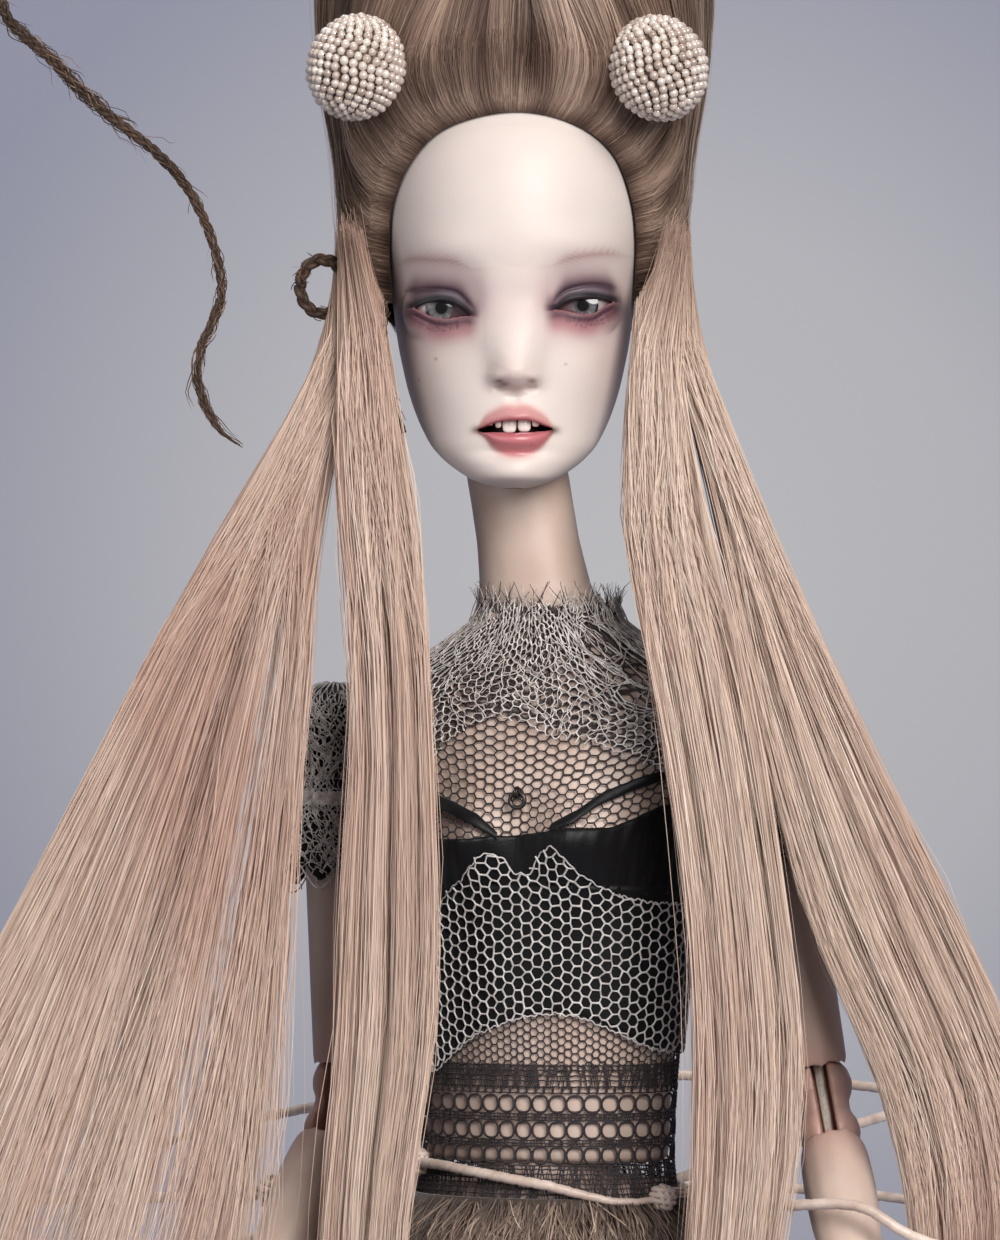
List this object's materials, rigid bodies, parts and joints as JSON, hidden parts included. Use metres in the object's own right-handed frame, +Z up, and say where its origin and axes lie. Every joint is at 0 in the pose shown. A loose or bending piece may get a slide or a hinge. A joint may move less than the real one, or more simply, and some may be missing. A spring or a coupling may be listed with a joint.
{
  "type": "ball jointed doll",
  "caption": "Slender strung ball jointed doll with a tall dressed wig, net corset, lace, fur skirt and a hooped cage, posable at every joint.",
  "frame": {"origin": "on the floor midway between the ankles, below the middle of the hips", "axes": "+Z up, the doll's chest faces -Y, +X is the doll's left"},
  "size_m": [0.2094, 0.2094, 0.4617],
  "materials": {
    "resin": "matte",
    "painted_resin": "matte",
    "eye": "glossy",
    "tooth": "glossy",
    "steel": "satin",
    "elastic": "matte",
    "brown_hair": "satin",
    "blond_hair": "satin",
    "pearl": "glossy",
    "black_satin": "satin",
    "silver_net": "satin",
    "black_lace": "matte",
    "fur": "matte",
    "satin_cord": "satin",
    "dark_metal": "satin"
  },
  "bodies": {
    "pelvis": {"pelvis": "resin", "fur_skirt": "fur", "waist_cord": "satin_cord", "upper_hoop": "satin_cord", "lower_hoop": "satin_cord", "left_body_elastic": "elastic", "right_body_elastic": "elastic"},
    "midriff": {"midriff": "resin", "lace_midriff": "black_lace"},
    "chest": {"chest": "resin", "bra": "black_satin", "net_corset": "silver_net", "net_yoke": "silver_net", "pendant_ring": "dark_metal", "arm_elastic": "elastic"},
    "head_hook": {"head_hook": "steel"},
    "head": {"head_shell": "painted_resin", "skull_cap": "resin", "left_eye": "eye", "right_eye": "eye", "teeth": "tooth", "hair_updo": "brown_hair", "left_bead_ball": "pearl", "right_bead_ball": "pearl", "left_inner_lock": "blond_hair", "left_outer_lock": "blond_hair", "right_inner_lock": "blond_hair", "right_outer_lock": "blond_hair", "long_plait": "brown_hair", "plait_loop": "brown_hair", "side_plait": "brown_hair"},
    "left_shoulder_ball": {"left_shoulder_ball": "resin"},
    "left_upper_arm": {"left_upper_arm": "resin", "left_sleeve": "silver_net"},
    "left_elbow_link": {"left_elbow_link": "resin"},
    "left_forearm": {"left_forearm": "resin"},
    "left_wrist_ball": {"left_wrist_ball": "resin"},
    "left_hand": {"left_hand": "resin", "left_hand_bar": "steel"},
    "left_hip_ball": {"left_hip_ball": "resin"},
    "left_thigh": {"left_thigh": "resin"},
    "left_knee_link": {"left_knee_link": "resin"},
    "left_shin": {"left_shin": "resin"},
    "left_foot": {"left_foot": "resin", "left_foot_bar": "steel"},
    "right_shoulder_ball": {"right_shoulder_ball": "resin"},
    "right_upper_arm": {"right_upper_arm": "resin", "right_sleeve": "silver_net"},
    "right_elbow_link": {"right_elbow_link": "resin"},
    "right_forearm": {"right_forearm": "resin"},
    "right_wrist_ball": {"right_wrist_ball": "resin"},
    "right_hand": {"right_hand": "resin", "right_hand_bar": "steel"},
    "right_hip_ball": {"right_hip_ball": "resin"},
    "right_thigh": {"right_thigh": "resin"},
    "right_knee_link": {"right_knee_link": "resin"},
    "right_shin": {"right_shin": "resin"},
    "right_foot": {"right_foot": "resin", "right_foot_bar": "steel"}
  },
  "joints": [
    {"name": "waist_tilt", "type": "hinge", "parent": "pelvis", "child": "midriff", "pos_m": [0, 0, 0.258], "axis": [0, 1, 0], "range_deg": [-6, 6], "deforming": ["lace_midriff", "fur_skirt", "waist_cord", "upper_hoop", "lower_hoop", "left_body_elastic", "right_body_elastic"]},
    {"name": "rib_bend", "type": "hinge", "parent": "midriff", "child": "chest", "pos_m": [0, 0, 0.288], "axis": [1, 0, 0], "range_deg": [-9, 9], "deforming": ["net_corset", "bra", "net_yoke", "arm_elastic"]},
    {"name": "head_turn", "type": "hinge", "parent": "chest", "child": "head_hook", "pos_m": [-0.00478, -0.00146, 0.363], "axis": [0, 0, 1], "range_deg": [-70, 55], "deforming": ["hair_updo", "left_inner_lock", "left_outer_lock", "right_inner_lock", "right_outer_lock", "long_plait", "plait_loop", "side_plait"]},
    {"name": "head_nod", "type": "hinge", "parent": "head_hook", "child": "head", "pos_m": [-0.00478, -0.00146, 0.363], "axis": [0.9563, 0.2924, 0], "range_deg": [-8, 8]},
    {"name": "left_shoulder_swing", "type": "hinge", "parent": "chest", "child": "left_shoulder_ball", "pos_m": [0.0325, 0, 0.321], "axis": [-1, 0, 0], "range_deg": [-35, 100], "deforming": ["left_sleeve"]},
    {"name": "left_shoulder_raise", "type": "hinge", "parent": "left_shoulder_ball", "child": "left_upper_arm", "pos_m": [0.0325, 0, 0.321], "axis": [0, -1, 0], "range_deg": [-12, 70]},
    {"name": "left_upper_elbow", "type": "hinge", "parent": "left_upper_arm", "child": "left_elbow_link", "pos_m": [0.04136, 0, 0.27077], "axis": [-0.9467, -0.2756, -0.1669], "range_deg": [-18, 36]},
    {"name": "left_lower_elbow", "type": "hinge", "parent": "left_elbow_link", "child": "left_forearm", "pos_m": [0.04325, -0.00243, 0.26405], "axis": [-0.9467, -0.2756, -0.1669], "range_deg": [-18, 36]},
    {"name": "left_wrist_twist", "type": "hinge", "parent": "left_forearm", "child": "left_wrist_ball", "pos_m": [0.0574, -0.03086, 0.23076], "axis": [-0.3075, 0.6179, 0.7236], "range_deg": [-80, 80]},
    {"name": "left_wrist_flex", "type": "hinge", "parent": "left_wrist_ball", "child": "left_hand", "pos_m": [0.0574, -0.03086, 0.23076], "axis": [0.152, 0.7826, -0.6037], "range_deg": [-35, 35]},
    {"name": "left_hip_swing", "type": "hinge", "parent": "pelvis", "child": "left_hip_ball", "pos_m": [0.0138, 0, 0.222], "axis": [-1, 0, 0], "range_deg": [-20, 70]},
    {"name": "left_hip_spread", "type": "hinge", "parent": "left_hip_ball", "child": "left_thigh", "pos_m": [0.0138, 0, 0.222], "axis": [0, 1, 0], "range_deg": [-20, 2]},
    {"name": "left_upper_knee", "type": "hinge", "parent": "left_thigh", "child": "left_knee_link", "pos_m": [0.0138, 0, 0.1261], "axis": [1, 0, 0], "range_deg": [0, 55]},
    {"name": "left_lower_knee", "type": "hinge", "parent": "left_knee_link", "child": "left_shin", "pos_m": [0.0138, 0, 0.1155], "axis": [1, 0, 0], "range_deg": [0, 55]},
    {"name": "left_ankle", "type": "hinge", "parent": "left_shin", "child": "left_foot", "pos_m": [0.0138, 0, 0.018], "axis": [1, 0, 0], "range_deg": [-25, 20]},
    {"name": "right_shoulder_swing", "type": "hinge", "parent": "chest", "child": "right_shoulder_ball", "pos_m": [-0.0325, 0, 0.321], "axis": [-1, 0, 0], "range_deg": [-35, 100], "deforming": ["right_sleeve"]},
    {"name": "right_shoulder_raise", "type": "hinge", "parent": "right_shoulder_ball", "child": "right_upper_arm", "pos_m": [-0.0325, 0, 0.321], "axis": [0, 1, 0], "range_deg": [-1, 81]},
    {"name": "right_upper_elbow", "type": "hinge", "parent": "right_upper_arm", "child": "right_elbow_link", "pos_m": [-0.03161, 0, 0.27001], "axis": [-0.9611, 0.2756, -0.0168], "range_deg": [-18, 36]},
    {"name": "right_lower_elbow", "type": "hinge", "parent": "right_elbow_link", "child": "right_forearm", "pos_m": [-0.03219, -0.00243, 0.26304], "axis": [-0.9611, 0.2756, -0.0168], "range_deg": [-18, 36]},
    {"name": "right_wrist_twist", "type": "hinge", "parent": "right_forearm", "child": "right_wrist_ball", "pos_m": [-0.03972, -0.03086, 0.22767], "axis": [0.1638, 0.6179, 0.769], "range_deg": [-80, 80]},
    {"name": "right_wrist_flex", "type": "hinge", "parent": "right_wrist_ball", "child": "right_hand", "pos_m": [-0.03972, -0.03086, 0.22767], "axis": [0.034, -0.7826, 0.6216], "range_deg": [-35, 35]},
    {"name": "right_hip_swing", "type": "hinge", "parent": "pelvis", "child": "right_hip_ball", "pos_m": [-0.0138, 0, 0.222], "axis": [-1, 0, 0], "range_deg": [-20, 70]},
    {"name": "right_hip_spread", "type": "hinge", "parent": "right_hip_ball", "child": "right_thigh", "pos_m": [-0.0138, 0, 0.222], "axis": [0, 1, 0], "range_deg": [-2, 20]},
    {"name": "right_upper_knee", "type": "hinge", "parent": "right_thigh", "child": "right_knee_link", "pos_m": [-0.0138, 0, 0.1261], "axis": [1, 0, 0], "range_deg": [0, 55]},
    {"name": "right_lower_knee", "type": "hinge", "parent": "right_knee_link", "child": "right_shin", "pos_m": [-0.0138, 0, 0.1155], "axis": [1, 0, 0], "range_deg": [0, 55]},
    {"name": "right_ankle", "type": "hinge", "parent": "right_shin", "child": "right_foot", "pos_m": [-0.0138, 0, 0.018], "axis": [1, 0, 0], "range_deg": [-25, 20]}
  ]
}
